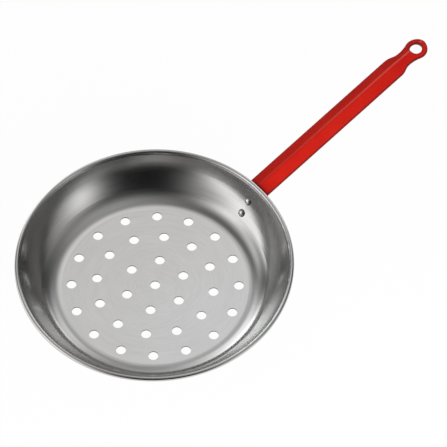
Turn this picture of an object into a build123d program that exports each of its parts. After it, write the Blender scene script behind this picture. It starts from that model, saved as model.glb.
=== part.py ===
from build123d import *
import math
import os

# Chestnut roaster: a perforated steel pan with a riveted, painted sheet-steel handle.
# Millimetres and degrees. The origin is at the centre of the pan's underside,
# +Z is up, and the handle runs out along +X.

# Pan
SHEET = 1.2                 # thickness of the pan's sheet
RIM_RADIUS = 140.0          # to the outside of the rim's bead
WALL_FLARE = 45.3           # from the edge of the flat floor out to the rim
FLOOR_RADIUS = RIM_RADIUS - WALL_FLARE
PAN_DEPTH = 43.0            # from the top of the floor to the top of the rim
CORNER_RADIUS = 28.0        # inside radius between floor and wall
WALL_RADIUS = 100.0         # inside radius of the wall's bowed section
NECK_RADIUS = 5.0           # inside radius where the wall turns up to the bead
BEAD_RADIUS = 2.4           # outside radius of the curled rim
CURL_TURN = 272.0           # how far the sheet's edge is rolled round

# Roasting holes: one in the middle and three rings, set in from the floor's edge
HOLE_DIAMETER = 10.0
EDGE_TO_OUTER_RING = 10.0
OUTER_TO_MIDDLE_RING = 25.1
MIDDLE_TO_INNER_RING = 29.1
OUTER_RING_HOLES = 16
MIDDLE_RING_HOLES = 12
INNER_RING_HOLES = 6
RING_PHASE = -20.4          # angle of the first hole of each ring from the handle

# Handle
HANDLE_SHEET = 1.5
HANDLE_RISE = 10.6          # slope of the blade above the level
HANDLE_LENGTH = 231.7       # from the bend at the wall to the middle of the hang hole
BLADE_WIDTH = 25.2
BLADE_CROWN = 2.8           # height of the crease above the blade's edges
BLADE_EDGE_DEPTH = 2.2      # height of the turned-down edge
EDGE_RADIUS = 2.0           # outside radius of the turned-down edge
CREASE_RADIUS = 6.0
SHOULDER_TO_RING = 33.2     # from the start of the shoulders to the middle of the hang hole
NECK_TO_RING = 17.2         # from the narrowest place to the middle of the hang hole
HANDLE_NECK_WIDTH = 17.4
RING_DIAMETER = 23.8
HANG_HOLE_DIAMETER = 12.8
HOLE_EDGE_RADIUS = 1.6      # where the sheet turns down round the hang hole
HOLE_EDGE_DRAFT = 4.0       # thins the turned-down edge towards its end, in degrees
DIP_TO_RING = 39.0          # from where the blade starts to dip to the middle of the hang hole
DIP_RADIUS = 150.0
RING_DIP = 3.6              # how far the ring is tipped down from the blade's slope
RIM_CLEARANCE = 1.2         # from the bead down to the crease where the blade passes under it
SEAT_GAP = 0.1              # between the tongue and the wall
TONGUE_WIDTH = 20.0
TONGUE_MARGIN = 5.5         # from the lower rivet to the tongue's end
TONGUE_END_RADIUS = 7.0

# Rivets
RIVET_SPACING = 14.8
RIVET_OFFSET = 5.1          # middle of the pair below the middle of the wall
SHANK_DIAMETER = 5.0
SHANK_CLEARANCE = 0.1       # all round the shank
HEAD_DIAMETER = 8.2
DOME_HEIGHT = 2.4           # head inside the pan
CLOSED_HEAD_HEIGHT = 1.6    # head closed over the tongue
HEAD_SEAT = 0.1             # under each head, clears the curve of the wall


def direction(angle):
    """Unit vector in the plane of the handle, at an angle above +X."""
    return Vector(math.cos(math.radians(angle)), 0, math.sin(math.radians(angle)))


# The wall's arc runs from the corner to the neck under the bead and touches both.
bead_centre = Vector(RIM_RADIUS - BEAD_RADIUS, 0, SHEET + PAN_DEPTH - BEAD_RADIUS)
corner_centre = Vector(FLOOR_RADIUS, 0, SHEET + CORNER_RADIUS)
neck_centre = bead_centre - Vector(BEAD_RADIUS + NECK_RADIUS, 0, 0)
between_centres = neck_centre - corner_centre
to_corner = WALL_RADIUS - CORNER_RADIUS
to_neck = WALL_RADIUS - NECK_RADIUS
centres_angle = math.degrees(math.atan2(between_centres.Z, between_centres.X))
swing = math.degrees(math.acos(
    (to_corner**2 + between_centres.length**2 - to_neck**2) / (2 * to_corner * between_centres.length)
))
wall_centre = corner_centre + direction(centres_angle + swing) * to_corner


def wall_slope(point):
    """Slope of the wall's arc where a line from its centre through a point crosses it."""
    from_centre = point - wall_centre
    return math.degrees(math.atan2(from_centre.Z, from_centre.X)) + 90


def wall_point(slope, depth=0):
    """Point at a depth behind the wall's inner face, where the wall has a given slope."""
    return wall_centre + direction(slope - 90) * (WALL_RADIUS + depth)


def wall_plane(slope):
    """Plane that touches the wall's inner face; its first direction runs up the wall, its normal out."""
    return Plane(origin=wall_point(slope), x_dir=direction(slope), z_dir=direction(slope - 90))


foot_slope = wall_slope(corner_centre)
top_slope = wall_slope(neck_centre)

# The blade's crease passes under the bead and meets the tongue's seat at the bend.
seat_depth = SHEET + SEAT_GAP
under_bead = bead_centre - Vector(0, 0, BEAD_RADIUS + RIM_CLEARANCE)
blade_along = direction(HANDLE_RISE)
blade_up = direction(HANDLE_RISE + 90)
crease_height = (under_bead - wall_centre).dot(blade_up)
crease_reach = math.sqrt((WALL_RADIUS + seat_depth)**2 - crease_height**2)
bend = wall_centre + blade_up * crease_height + blade_along * crease_reach
bend_slope = wall_slope(bend)

pair_slope = (foot_slope + top_slope) / 2 - math.degrees(RIVET_OFFSET / WALL_RADIUS)
upper_slope = pair_slope + math.degrees(RIVET_SPACING / 2 / WALL_RADIUS)
lower_slope = pair_slope - math.degrees(RIVET_SPACING / 2 / WALL_RADIUS)
low_slope = lower_slope - math.degrees(TONGUE_WIDTH / WALL_RADIUS)     # clear of the tongue's end


# Pan body: one pressing with a curled rim, turned about the Z axis

def pan_line(depth):
    """The sheet's line at a depth below the pan's inner face; gives its first and last points."""
    floor_line = Line((0, SHEET - depth), (FLOOR_RADIUS, SHEET - depth))
    corner = JernArc(floor_line @ 1, floor_line % 1, CORNER_RADIUS + depth, foot_slope)
    wall = JernArc(corner @ 1, corner % 1, WALL_RADIUS + depth, top_slope - foot_slope)
    neck = JernArc(wall @ 1, wall % 1, NECK_RADIUS + depth, 90 - top_slope)
    bead = JernArc(neck @ 1, neck % 1, BEAD_RADIUS - depth, -CURL_TURN)
    return floor_line @ 0, bead @ 1


with BuildPart() as pan_body:
    with BuildSketch(Plane.XZ):
        with BuildLine():
            inner_first, inner_last = pan_line(0)
            outer_first, outer_last = pan_line(SHEET)
            Line(inner_first, outer_first)
            Line(inner_last, outer_last)
        make_face()
    revolve(axis=Axis.Z)

    outer_ring_radius = FLOOR_RADIUS - EDGE_TO_OUTER_RING
    middle_ring_radius = outer_ring_radius - OUTER_TO_MIDDLE_RING
    inner_ring_radius = middle_ring_radius - MIDDLE_TO_INNER_RING
    with BuildSketch(Plane.XY):
        Circle(HOLE_DIAMETER / 2)
        for radius, count in (
            (inner_ring_radius, INNER_RING_HOLES),
            (middle_ring_radius, MIDDLE_RING_HOLES),
            (outer_ring_radius, OUTER_RING_HOLES),
        ):
            with PolarLocations(radius, count, start_angle=RING_PHASE):
                Circle(HOLE_DIAMETER / 2)
    extrude(amount=SHEET, mode=Mode.SUBTRACT)

    for slope in (upper_slope, lower_slope):
        with BuildSketch(wall_plane(slope)):
            Circle(SHANK_DIAMETER / 2 + SHANK_CLEARANCE)
        extrude(amount=2 * SHEET, both=True, mode=Mode.SUBTRACT)


# Handle: creased blade with turned-down edges, a hang ring and a tongue on the wall

blade_height = BLADE_CROWN + BLADE_EDGE_DEPTH
root_end = HANDLE_LENGTH + BLADE_WIDTH      # the blank's root, inside the wall and cut back to it later
outline_middle = bend + blade_along * HANDLE_LENGTH
root = outline_middle - blade_along * root_end
dip_start = outline_middle - blade_along * DIP_TO_RING
ring_along = direction(HANDLE_RISE - RING_DIP)
ring_up = direction(HANDLE_RISE - RING_DIP + 90)


def dip_point(turned):
    """Point of the crease where it has turned down by an angle."""
    turn = math.radians(turned)
    return dip_start + (blade_along * math.sin(turn) - blade_up * (1 - math.cos(turn))) * DIP_RADIUS


dip_end = dip_point(RING_DIP)
dip_run = (dip_end - dip_start).dot(blade_along)
ring_middle = dip_end + ring_along * ((DIP_TO_RING - dip_run) / math.cos(math.radians(RING_DIP)))
ring_plane = Plane(origin=ring_middle, x_dir=ring_along, z_dir=ring_up)


def depth_below_crease(point):
    """How far a point lies under the level of the crease, square to the blade."""
    run = (point - dip_start).dot(blade_along)
    depth = (dip_start - point).dot(blade_up)
    if run <= 0:
        return depth
    if run < dip_run:
        return depth - DIP_RADIUS + math.sqrt(DIP_RADIUS**2 - run**2)
    return depth - (dip_start - dip_end).dot(blade_up) - (run - dip_run) * math.tan(math.radians(RING_DIP))


def half_outline(side, inset):
    """One side of the blade's plan, from the root to the ring's tip; side is 1 or -1."""
    ring_radius = RING_DIAMETER / 2 - inset
    waist = HANDLE_NECK_WIDTH / 2 - inset
    blade_side = BLADE_WIDTH / 2 - inset
    # The waist is an arc that is level at the neck and touches the ring.
    waist_radius = (NECK_TO_RING**2 + waist**2 - ring_radius**2) / (2 * (ring_radius - waist))
    to_waist_centre = Vector(-NECK_TO_RING, waist + waist_radius)
    touch = to_waist_centre * (ring_radius / (ring_radius + waist_radius))
    # The shoulder is two arcs, one each way, that are equal where there is no inset.
    shoulder_run = SHOULDER_TO_RING - NECK_TO_RING
    shoulder_drop = blade_side - waist
    shoulder_radius = (shoulder_run**2 + shoulder_drop**2) / (4 * shoulder_drop)
    turn = math.asin(shoulder_run / (2 * shoulder_radius))
    first_radius = shoulder_radius - inset
    mid_shoulder = (
        first_radius * math.sin(turn) - SHOULDER_TO_RING,
        side * (blade_side - first_radius * (1 - math.cos(turn))),
    )
    shoulder_start = (-SHOULDER_TO_RING, side * blade_side)
    narrowest = (-NECK_TO_RING, side * waist)
    touch_point = (touch.X, side * touch.Y)
    Line((-root_end, side * blade_side), shoulder_start)
    TangentArc(shoulder_start, mid_shoulder, tangent=(1, 0))
    TangentArc(narrowest, mid_shoulder, tangent=(-1, 0))
    TangentArc(narrowest, touch_point, tangent=(1, 0))
    RadiusArc(touch_point, (ring_radius, 0), side * ring_radius)


def is_upright(along):
    """Whether a direction is nearer to the blade's up than to its plane."""
    return abs(along.dot(blade_up)) > math.sqrt(0.5)


def is_side(face):
    """Whether a face of the blade's form stands up along its outline, the root's end left out."""
    normal = face.normal_at()
    return not is_upright(normal) and normal.dot(blade_along) > -math.sqrt(0.5)


def blade_form(inset):
    """Solid under the blade's creased top, drawn in from the outside by the inset."""
    roof_half = BLADE_WIDTH / 2 + EDGE_RADIUS
    roof_drop = inset + 2 * BLADE_CROWN * roof_half / BLADE_WIDTH
    bottom = blade_height + inset
    with BuildPart() as form:
        with BuildLine() as crease:
            Line(root, dip_start)
            ThreePointArc(dip_start, dip_point(RING_DIP / 2), dip_end)
            Line(dip_end, ring_middle + ring_along * RING_DIAMETER)
        with BuildSketch(Plane(origin=root, x_dir=(0, 1, 0), z_dir=blade_along)):
            with BuildLine():
                Polyline(
                    (0, -inset),
                    (roof_half, -roof_drop),
                    (roof_half, -bottom),
                    (-roof_half, -bottom),
                    (-roof_half, -roof_drop),
                    close=True,
                )
            face = make_face()
            fillet(face.vertices().sort_by(Axis.Y)[-1], CREASE_RADIUS - inset)
        sweep(path=crease.wire())
        with BuildSketch(Plane(origin=outline_middle, x_dir=blade_along, z_dir=blade_up)):
            with BuildLine():
                half_outline(1, inset)
                half_outline(-1, inset)
                Line((-root_end, BLADE_WIDTH / 2 - inset), (-root_end, inset - BLADE_WIDTH / 2))
            make_face()
        extrude(amount=4 * blade_height, both=True, mode=Mode.INTERSECT)
        # The top's outline: edges that run along the sides, above the sides' mid-height.
        mid_depth = (bottom + inset + BLADE_CROWN) / 2
        outline = form.faces().filter_by(is_side).edges().filter_by(
            lambda edge: depth_below_crease(edge @ 0.5) < mid_depth and not is_upright(edge % 0.5)
        )
        fillet(outline, EDGE_RADIUS - inset)
    return form.part


blade_outside = blade_form(0)
blade_inside = blade_form(HANDLE_SHEET)

with BuildPart() as cavity:
    add(blade_inside)
    with BuildSketch(ring_plane):
        Circle(HANG_HOLE_DIAMETER / 2 + HANDLE_SHEET)
    extrude(amount=-4 * blade_height, taper=HOLE_EDGE_DRAFT, mode=Mode.SUBTRACT)

with BuildPart() as tongue_blank:
    with BuildSketch(Plane.XZ):
        with BuildLine():
            middle_slope = (low_slope + bend_slope) / 2
            seat_side = [wall_point(slope) for slope in (low_slope, middle_slope, bend_slope)]
            open_side = [
                wall_point(slope, seat_depth + HANDLE_SHEET) for slope in (low_slope, middle_slope, bend_slope)
            ]
            ThreePointArc(*[(point.X, point.Z) for point in seat_side])
            ThreePointArc(*[(point.X, point.Z) for point in open_side])
            for inner, outer in ((seat_side[0], open_side[0]), (seat_side[2], open_side[2])):
                Line((inner.X, inner.Z), (outer.X, outer.Z))
        make_face()
    revolve(axis=Axis.Z)
    lower_plane = wall_plane(lower_slope)
    tongue_run = TONGUE_MARGIN + 2 * (bend - lower_plane.origin).length
    with BuildSketch(lower_plane):
        with Locations((tongue_run / 2 - TONGUE_MARGIN, 0)):
            Rectangle(tongue_run, TONGUE_WIDTH)
        fillet(vertices().group_by(Axis.X)[0], TONGUE_END_RADIUS)
    extrude(amount=TONGUE_WIDTH, both=True, mode=Mode.INTERSECT)

with BuildPart() as pan_side:
    with BuildSketch(Plane.XZ):
        with BuildLine():
            high_slope = bend_slope + math.degrees(blade_height / WALL_RADIUS)
            low, middle, high = [
                wall_point(slope, seat_depth)
                for slope in (low_slope, (low_slope + high_slope) / 2, high_slope)
            ]
            ThreePointArc((low.X, low.Z), (middle.X, middle.Z), (high.X, high.Z))
            Polyline((high.X, high.Z), (0, high.Z), (0, low.Z), (low.X, low.Z))
        make_face()
    revolve(axis=Axis.Z)

with BuildPart() as handle:
    add(blade_outside)
    with BuildSketch(ring_plane):
        Circle(HANG_HOLE_DIAMETER / 2)
    extrude(amount=4 * blade_height, both=True, mode=Mode.SUBTRACT)
    hole_edges = edges(Select.LAST).filter_by(
        lambda edge: depth_below_crease(edge @ 0.5) < blade_height / 2 and not is_upright(edge % 0.5)
    )
    fillet(hole_edges, HOLE_EDGE_RADIUS)
    add(cavity.part, mode=Mode.SUBTRACT)
    add(tongue_blank.part)
    add(pan_side.part, mode=Mode.SUBTRACT)
    for slope in (upper_slope, lower_slope):
        with BuildSketch(wall_plane(slope)):
            Circle(SHANK_DIAMETER / 2 + SHANK_CLEARANCE)
        extrude(amount=4 * HANDLE_SHEET, mode=Mode.SUBTRACT)


# Rivets: each is turned about its own axis, square to the wall

grip = SHEET + SEAT_GAP + HANDLE_SHEET


def dome_point(base, height):
    """Point half way round a dome's section, for a head of a given height on its base."""
    head = HEAD_DIAMETER / 2
    rise = abs(height)
    ball = (head**2 + rise**2) / (2 * rise)
    half_turn = math.asin(head / ball) / 2
    sign = math.copysign(1, height)
    return (base + sign * (ball * math.cos(half_turn) - (ball - rise)), ball * math.sin(half_turn))


def turn_rivet(slope):
    """Rivet with its domed head inside the pan and its closed head on the tongue."""
    head = HEAD_DIAMETER / 2
    shank = SHANK_DIAMETER / 2
    top = grip + HEAD_SEAT
    seat = wall_point(slope)
    out = direction(slope - 90)
    # On this plane the first direction runs out along the shank and the second across it.
    with BuildPart() as rivet:
        with BuildSketch(Plane(origin=seat, x_dir=out, z_dir=(0, 1, 0))):
            with BuildLine():
                ThreePointArc(
                    (-HEAD_SEAT - DOME_HEIGHT, 0),
                    dome_point(-HEAD_SEAT, -DOME_HEIGHT),
                    (-HEAD_SEAT, head),
                )
                Polyline((-HEAD_SEAT, head), (-HEAD_SEAT, shank), (top, shank), (top, head))
                ThreePointArc(
                    (top, head), dome_point(top, CLOSED_HEAD_HEIGHT), (top + CLOSED_HEAD_HEIGHT, 0)
                )
                Line((top + CLOSED_HEAD_HEIGHT, 0), (-HEAD_SEAT - DOME_HEIGHT, 0))
            make_face()
        revolve(axis=Axis(seat, out))
    return rivet.part


rivet_upper = turn_rivet(upper_slope)
rivet_lower = turn_rivet(lower_slope)

pan_body.part.label = "pan_body"
handle.part.label = "handle"
rivet_upper.label = "rivet_upper"
rivet_lower.label = "rivet_lower"
os.makedirs("parts", exist_ok=True)
export_step(pan_body.part, "parts/pan_body.step")
export_step(handle.part, "parts/handle.step")
export_step(rivet_upper, "parts/rivet_upper.step")
export_step(rivet_lower, "parts/rivet_lower.step")
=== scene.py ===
import math

import bpy
from mathutils import Matrix, Vector

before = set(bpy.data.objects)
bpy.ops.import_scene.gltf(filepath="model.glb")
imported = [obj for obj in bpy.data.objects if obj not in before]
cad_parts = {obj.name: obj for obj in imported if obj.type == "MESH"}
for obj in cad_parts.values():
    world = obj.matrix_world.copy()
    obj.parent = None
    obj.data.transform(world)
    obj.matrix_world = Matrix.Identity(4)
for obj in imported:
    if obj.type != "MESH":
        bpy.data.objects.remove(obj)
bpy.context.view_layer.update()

MM = 0.001

# Camera
IMAGE = 447
SENSOR = 36.0
FOCAL_PX = 3000.0
CAMERA_DISTANCE = 3034.609 * MM
ELEVATION = 55.003
ROLL = -0.094
PAN_AT_PX = (155.220, 284.901)      # where the middle of the pan's floor lies in the picture
HANDLE_AZIMUTH = 42.3               # the handle's direction, turned from the picture's right
FLOOR_TOP = 1.2 * MM

# Steel of the pan. Colours are linear, and each pair of limits runs from low to high.
STEEL_WARM = (0.612, 0.596, 0.588, 1)
STEEL_COOL = (0.594, 0.600, 0.594, 1)
STEEL_SHADES = (0.90, 1.08)
STEEL_ROUGHNESS = (0.165, 0.205)
GRAIN_DEPTH = 0.0006 * MM
# Painted shade on the punched edges of the holes
PUNCHED_SHADE_COLOUR = (0.03, 0.029, 0.028, 1)
PUNCHED_TILT = 0.3                  # largest upright part of a punched edge's normal
PUNCHED_ABOVE = 0.05 * MM           # how far above the floor's top the punched edges may reach
PUNCHED_ROUGHER = 0.25

# Steel of the rivets
RIVET_AXIS = (0.804, 0.0, -0.595)   # square to the wall between the rivets
RIVET_DULL = (0.72, 0.71, 0.70, 1)
RIVET_BRIGHT = (0.84, 0.83, 0.82, 1)
# Painted shade round the foot of each rivet dome
RIVET_FOOT_SHADE = (0.07, 0.066, 0.062, 1)
FOOT_SHADE_FACING = (0.80, 0.62)          # how squarely the dome faces along its axis, at the crown and the foot of the painted shade
RIVET_ROUGHNESS = (0.14, 0.24)
RIVET_DEPTH = 0.03 * MM

# Paint of the handle
PAINT_DEEP = (0.580, 0.0140, 0.0085, 1)
PAINT_BRIGHT = (0.630, 0.0180, 0.0100, 1)
# Painted highlight as a light line beside the crease
PAINT_CREASE_HIGHLIGHT = (0.92, 0.10, 0.075, 1)
# Painted shade on the handle's turned-down edges
PAINT_EDGE_SHADE = (0.15, 0.010, 0.008, 1)
# Painted shadow where the blade comes out from under the rim
PAINT_ROOT_SHADOW = (0.05, 0.006, 0.005, 1)
PAINT_ROUGHNESS = 0.24
PAINT_SPECULAR = 0.05
PEEL_DEPTH = 0.005 * MM
EDGE_SHADE_UPRIGHT = (0.95, 0.72)         # upright part of the normal, where the painted edge shade starts and is full
BLADE_START = 143.0 * MM            # where the blade comes out from under the rim
ROOT_SHADOW_SOFTNESS = 0.6 * MM
ROOT_SHADOW_SHARE = 0.85
HIGHLIGHT_ASIDE = 1.4 * MM               # middle of the painted highlight line beside the crease
HIGHLIGHT_HALF_WIDTH = (1.7 * MM, 0.4 * MM)
HIGHLIGHT_RUN = (180 * MM, 350 * MM)
HIGHLIGHT_SHARE = (0.25, 1.0)

# Studio: soft patches of light on a dim surround. Each has its azimuth from the picture's right,
# its elevation, its brightness in the middle and its half-width, all angles in degrees.
SURROUND = 0.01
PATCHES = (
    (119.2, 9.7, 3.00, 10.5),
    (-165.4, 3.3, 1.56, 19.2),
    (61.8, 3.6, 2.49, 10.3),
    (-137.4, 1.1, 1.15, 11.8),
    (112.6, 33.5, 1.47, 10.3),
    (-32.3, 14.5, 0.97, 12.1),
    (-163.8, 42.1, 1.18, 16.8),
    (87.5, 58.6, 1.00, 10.3),
    (167.2, 3.5, 1.83, 11.6),
    (92.4, 12.8, 0.52, 12.3),
    (67.6, 31.9, 1.00, 10.3),
    (2.6, 71.8, 0.44, 23.5),
    (-8.9, 17.3, 0.39, 22.0),
    (-125.0, 22.8, 0.20, 12.3),
    (155.1, 41.3, 0.63, 11.0),
)

# Floor and key light
FLOOR_HALF = 4.0
FLOOR_COLOUR = 0.95
FLOOR_GLOW = 0.97                   # share of the floor that is plain white to the camera
KEY_AZIMUTH = -64.0
KEY_ELEVATION = 15.0
KEY_DISTANCE = 1.0
KEY_SIZE = 0.5
KEY_POWER = 16.0


def toward(azimuth, elevation):
    """Unit vector from an azimuth seen from the picture's right and an elevation."""
    around = math.radians(azimuth - HANDLE_AZIMUTH)
    rise = math.radians(elevation)
    level = math.cos(rise)
    return Vector((level * math.cos(around), level * math.sin(around), math.sin(rise)))


def place_camera():
    elevation = math.radians(ELEVATION)
    roll = math.radians(ROLL)
    forward = Vector((0, math.cos(elevation), -math.sin(elevation)))
    level_right = Vector((1, 0, 0))
    level_up = level_right.cross(forward)
    right = math.cos(roll) * level_right + math.sin(roll) * level_up
    up = -math.sin(roll) * level_right + math.cos(roll) * level_up
    per_px = CAMERA_DISTANCE / FOCAL_PX
    place = -forward * CAMERA_DISTANCE
    place -= right * (PAN_AT_PX[0] - IMAGE / 2) * per_px
    place += up * (PAN_AT_PX[1] - IMAGE / 2) * per_px
    turn = Matrix.Rotation(math.radians(-HANDLE_AZIMUTH), 3, "Z")
    axes = Matrix((turn @ right, turn @ up, turn @ -forward)).transposed().to_4x4()
    data = bpy.data.cameras.new("camera")
    data.sensor_width = SENSOR
    data.lens = FOCAL_PX / IMAGE * SENSOR
    data.clip_end = 50.0
    camera = bpy.data.objects.new("camera", data)
    bpy.context.scene.collection.objects.link(camera)
    camera.matrix_world = Matrix.Translation(turn @ place + Vector((0, 0, FLOOR_TOP))) @ axes
    bpy.context.scene.camera = camera


class Nodes:
    """A node tree, with short calls that add nodes and join them."""

    def __init__(self, tree):
        self.tree = tree

    def feed(self, socket, value):
        if isinstance(value, bpy.types.NodeSocket):
            self.tree.links.new(value, socket)
        else:
            socket.default_value = value

    def add(self, kind, inputs=(), output=0, **settings):
        """Adds a node. The inputs are a list in order, or a dict by name; gives one output."""
        node = self.tree.nodes.new("ShaderNode" + kind)
        for key, value in settings.items():
            setattr(node, key, value)
        pairs = inputs.items() if isinstance(inputs, dict) else enumerate(inputs)
        for key, value in pairs:
            self.feed(node.inputs[key], value)
        return node.outputs[output]

    def math(self, operation, *inputs, clamp=False):
        return self.add("Math", inputs, operation=operation, use_clamp=clamp)

    def vector(self, operation, *inputs):
        return self.add("VectorMath", inputs, operation=operation)

    def scale(self, vector, factor):
        return self.add("VectorMath", {"Vector": vector, "Scale": factor}, operation="SCALE")

    def dot(self, first, second):
        return self.add("VectorMath", [first, second], output="Value", operation="DOT_PRODUCT")

    def length(self, vector):
        return self.add("VectorMath", [vector], output="Value", operation="LENGTH")

    def place(self):
        return self.add("TexCoord", output="Object")

    def axis(self, vector, name):
        return self.add("SeparateXYZ", [vector], output=name)

    def noise(self, vector, scale, detail=2.0, roughness=0.5):
        settings = {"Vector": vector, "Scale": scale, "Detail": detail, "Roughness": roughness}
        return self.add("TexNoise", settings)

    def remap(self, value, low, high, to_low=0.0, to_high=1.0):
        limits = {
            "Value": value,
            "From Min": low,
            "From Max": high,
            "To Min": to_low,
            "To Max": to_high,
        }
        return self.add("MapRange", limits)

    def mix(self, factor, first, second):
        return self.add("Mix", {0: factor, 6: first, 7: second}, output=2, data_type="RGBA")

    def bump(self, height, distance):
        return self.add("Bump", {"Height": height, "Distance": distance, "Strength": 1.0})


class Surface(Nodes):
    """A material with its own node tree and shader."""

    def __init__(self, name):
        self.material = bpy.data.materials.new(name)
        self.material.use_nodes = True
        super().__init__(self.material.node_tree)
        self.shader = self.tree.nodes["Principled BSDF"]

    def set(self, **values):
        for name, value in values.items():
            self.feed(self.shader.inputs[name.replace("_", " ")], value)


def turned(nodes, place, around, across):
    """Coordinates of a grain that runs round the pan: slow round it, quick from the middle outwards."""
    flat = nodes.vector("MULTIPLY", place, (1, 1, 0))
    run = nodes.math("ADD", nodes.length(flat), nodes.axis(place, "Z"))
    lift = nodes.add("CombineXYZ", [0.0, 0.0, nodes.math("MULTIPLY", run, across)])
    return nodes.vector("ADD", nodes.scale(nodes.vector("NORMALIZE", flat), around), lift)


def pan_steel():
    nodes = Surface("pan_steel")
    place = nodes.place()
    broad = nodes.noise(turned(nodes, place, 1.2, 60.0), 1.0, 2.0)
    coarse = nodes.noise(turned(nodes, place, 3.0, 420.0), 1.0, 3.0, 0.6)
    fine = nodes.noise(turned(nodes, place, 16.0, 2600.0), 1.0, 2.0, 0.6)
    cloud = nodes.noise(place, 11.0, 3.0)
    tint = nodes.noise(place, 5.0, 1.0)
    grain = nodes.math("ADD", nodes.math("MULTIPLY", coarse, 0.75), nodes.math("MULTIPLY", fine, 0.25))
    haze = nodes.math("ADD", nodes.math("MULTIPLY", broad, 0.5), nodes.math("MULTIPLY", cloud, 0.5))
    shade = nodes.math("ADD", nodes.math("MULTIPLY", grain, 0.5), nodes.math("MULTIPLY", haze, 0.5))
    hue = nodes.mix(nodes.remap(tint, 0.35, 0.65), STEEL_WARM, STEEL_COOL)
    dark = nodes.vector("MULTIPLY", hue, (STEEL_SHADES[0],) * 3)
    light = nodes.vector("MULTIPLY", hue, (STEEL_SHADES[1],) * 3)
    sheet = nodes.mix(nodes.remap(shade, 0.35, 0.65), dark, light)
    # The punched edges of the holes are rougher than the sheet, and their colour is darkened as painted
    # shade.
    normal = nodes.add("NewGeometry", output="True Normal")
    upright = nodes.math("LESS_THAN", nodes.math("ABSOLUTE", nodes.axis(normal, "Z")), PUNCHED_TILT)
    low = nodes.math("LESS_THAN", nodes.axis(place, "Z"), FLOOR_TOP + PUNCHED_ABOVE)
    punched = nodes.math("MULTIPLY", upright, low)
    colour = nodes.mix(punched, sheet, PUNCHED_SHADE_COLOUR)
    sheet_rough = nodes.remap(shade, 0.3, 0.7, *STEEL_ROUGHNESS)
    rough = nodes.math("ADD", sheet_rough, nodes.math("MULTIPLY", punched, PUNCHED_ROUGHER))
    bump = nodes.bump(grain, GRAIN_DEPTH)
    nodes.set(Base_Color=colour, Metallic=1.0, Roughness=rough, Normal=bump)
    return nodes.material


def rivet_steel():
    nodes = Surface("rivet_steel")
    place = nodes.place()
    cloud = nodes.noise(place, 500.0, 3.0)
    head = nodes.mix(nodes.remap(cloud, 0.35, 0.65), RIVET_DULL, RIVET_BRIGHT)
    # Painted shade: each dome is darkened where it runs down to the wall.
    normal = nodes.add("NewGeometry", output="True Normal")
    facing = nodes.dot(normal, RIVET_AXIS)
    foot_shade = nodes.remap(nodes.math("ABSOLUTE", facing), *FOOT_SHADE_FACING)
    colour = nodes.mix(foot_shade, head, RIVET_FOOT_SHADE)
    rough = nodes.remap(cloud, 0.3, 0.7, *RIVET_ROUGHNESS)
    bump = nodes.bump(cloud, RIVET_DEPTH)
    nodes.set(Base_Color=colour, Metallic=1.0, Roughness=rough, Normal=bump)
    return nodes.material


def red_paint():
    nodes = Surface("red_paint")
    place = nodes.place()
    cloud = nodes.noise(place, 35.0, 2.0)
    peel = nodes.noise(place, 700.0, 1.0)
    coat = nodes.mix(nodes.remap(cloud, 0.35, 0.65), PAINT_DEEP, PAINT_BRIGHT)
    # The paint is darkened on the turned-down edges as painted shade and by the rim as a painted
    # shadow, with a painted highlight as a light line beside the crease.
    normal = nodes.add("NewGeometry", output="True Normal")
    edge_shade = nodes.remap(nodes.axis(normal, "Z"), *EDGE_SHADE_UPRIGHT)
    along = nodes.axis(place, "X")
    root_shadow = nodes.remap(along, BLADE_START + ROOT_SHADOW_SOFTNESS, BLADE_START - ROOT_SHADOW_SOFTNESS)
    aside = nodes.math("ABSOLUTE", nodes.math("SUBTRACT", nodes.axis(place, "Y"), HIGHLIGHT_ASIDE))
    line = nodes.remap(aside, *HIGHLIGHT_HALF_WIDTH)
    crease_highlight = nodes.math("MULTIPLY", line, nodes.remap(along, *HIGHLIGHT_RUN, *HIGHLIGHT_SHARE))
    highlighted = nodes.mix(crease_highlight, coat, PAINT_CREASE_HIGHLIGHT)
    edge_shaded = nodes.mix(edge_shade, highlighted, PAINT_EDGE_SHADE)
    colour = nodes.mix(nodes.math("MULTIPLY", root_shadow, ROOT_SHADOW_SHARE), edge_shaded, PAINT_ROOT_SHADOW)
    nodes.set(
        Base_Color=colour,
        Roughness=PAINT_ROUGHNESS,
        Specular_IOR_Level=PAINT_SPECULAR,
        Normal=nodes.bump(peel, PEEL_DEPTH),
    )
    return nodes.material


def set_material(node, material):
    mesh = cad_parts[node].data
    for index in range(len(mesh.materials)):
        mesh.materials[index] = material


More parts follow.
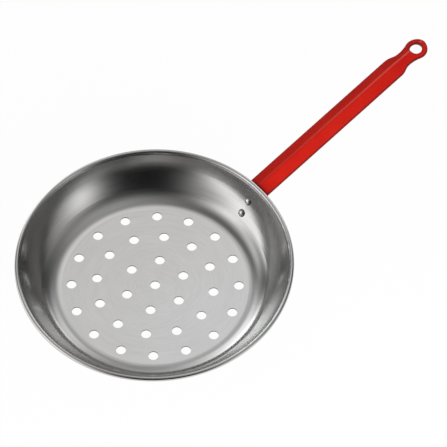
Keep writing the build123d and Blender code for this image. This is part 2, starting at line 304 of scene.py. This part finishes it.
def build_floor():
    mesh = bpy.data.meshes.new("floor")
    half = FLOOR_HALF
    corners = [(-half, -half, 0), (half, -half, 0), (half, half, 0), (-half, half, 0)]
    mesh.from_pydata(corners, [], [(0, 1, 2, 3)])
    floor = bpy.data.objects.new("floor", mesh)
    bpy.context.scene.collection.objects.link(floor)
    material = bpy.data.materials.new("floor")
    material.use_nodes = True
    nodes = Nodes(material.node_tree)
    nodes.tree.nodes.clear()
    colour = (FLOOR_COLOUR, FLOOR_COLOUR, FLOOR_COLOUR, 1)
    diffuse = nodes.add("BsdfDiffuse", {"Color": colour})
    glow = nodes.add("Emission", {"Strength": 1.0})
    path = nodes.tree.nodes.new("ShaderNodeLightPath").outputs
    seen = nodes.math("ADD", path["Is Camera Ray"], path["Is Glossy Ray"])
    seen = nodes.math("ADD", seen, path["Is Transmission Ray"], clamp=True)
    share = nodes.math("MULTIPLY", seen, FLOOR_GLOW)
    mixed = nodes.add("MixShader", [share, diffuse, glow])
    output = nodes.tree.nodes.new("ShaderNodeOutputMaterial")
    nodes.feed(output.inputs["Surface"], mixed)
    mesh.materials.append(material)


def build_light():
    world = bpy.data.worlds.new("studio")
    world.use_nodes = True
    bpy.context.scene.world = world
    nodes = Nodes(world.node_tree)
    ray = nodes.vector("NORMALIZE", nodes.add("TexCoord", output="Generated"))
    light = SURROUND
    for azimuth, elevation, brightness, half_width in PATCHES:
        steep = math.log(2) / (1 - math.cos(math.radians(half_width)))
        near = nodes.dot(ray, toward(azimuth, elevation))
        fall = nodes.math("EXPONENT", nodes.math("MULTIPLY_ADD", near, steep, -steep))
        light = nodes.math("MULTIPLY_ADD", fall, brightness, light)
    background = nodes.tree.nodes["Background"]
    nodes.feed(background.inputs["Color"], (1, 1, 1, 1))
    nodes.feed(background.inputs["Strength"], light)
    # The key light brightens the paint and the floor, and metal doesn't mirror it.
    data = bpy.data.lights.new("key", "AREA")
    data.size = KEY_SIZE
    data.energy = KEY_POWER
    key = bpy.data.objects.new("key", data)
    bpy.context.scene.collection.objects.link(key)
    way = toward(KEY_AZIMUTH, KEY_ELEVATION)
    key.location = way * KEY_DISTANCE
    key.rotation_euler = way.to_track_quat("Z", "Y").to_euler()
    key.visible_glossy = False


place_camera()
build_floor()
build_light()
set_material("pan_body", pan_steel())
set_material("handle", red_paint())
rivet_material = rivet_steel()
set_material("rivet_upper", rivet_material)
set_material("rivet_lower", rivet_material)

bpy.context.scene.view_settings.view_transform = "Standard"
bpy.context.view_layer.update()
